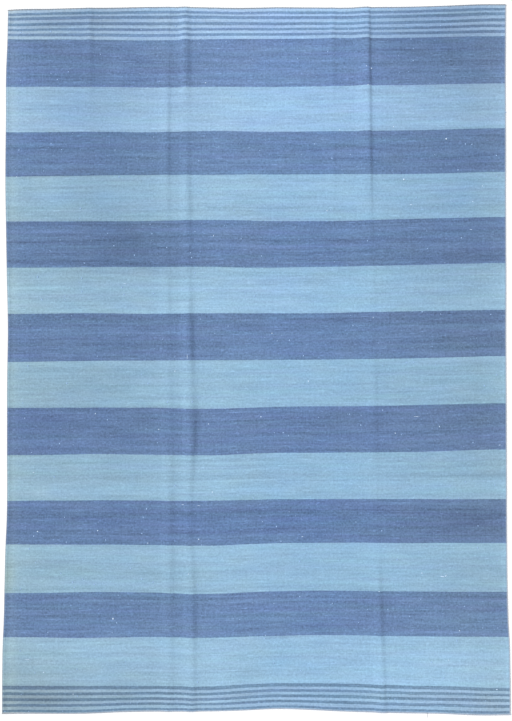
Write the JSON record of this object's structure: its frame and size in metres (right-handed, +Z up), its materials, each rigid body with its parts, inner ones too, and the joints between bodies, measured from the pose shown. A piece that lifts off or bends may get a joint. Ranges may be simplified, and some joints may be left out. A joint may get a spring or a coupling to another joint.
{
  "type": "flat-woven striped kilim rug",
  "caption": "Rectangular flat-woven wool rug lying flat, with broad crosswise bands in darker and lighter blue, groups of thin stripes near both ends and soft lengthwise fold creases.",
  "frame": {"origin": "middle of the rug's outline box, on the floor that its underside rests on", "axes": "+X across the rug from its left selvedge to its right one, +Y along it towards the end shown at the top of the picture, +Z up from the floor"},
  "size_m": [1.715, 2.3994, 0.0121],
  "materials": {
    "wool_cloth": "matt weft-faced woven wool in crosswise bands of two blues"
  },
  "bodies": {
    "root": {"kilim": "wool_cloth"}
  },
  "joints": []
}
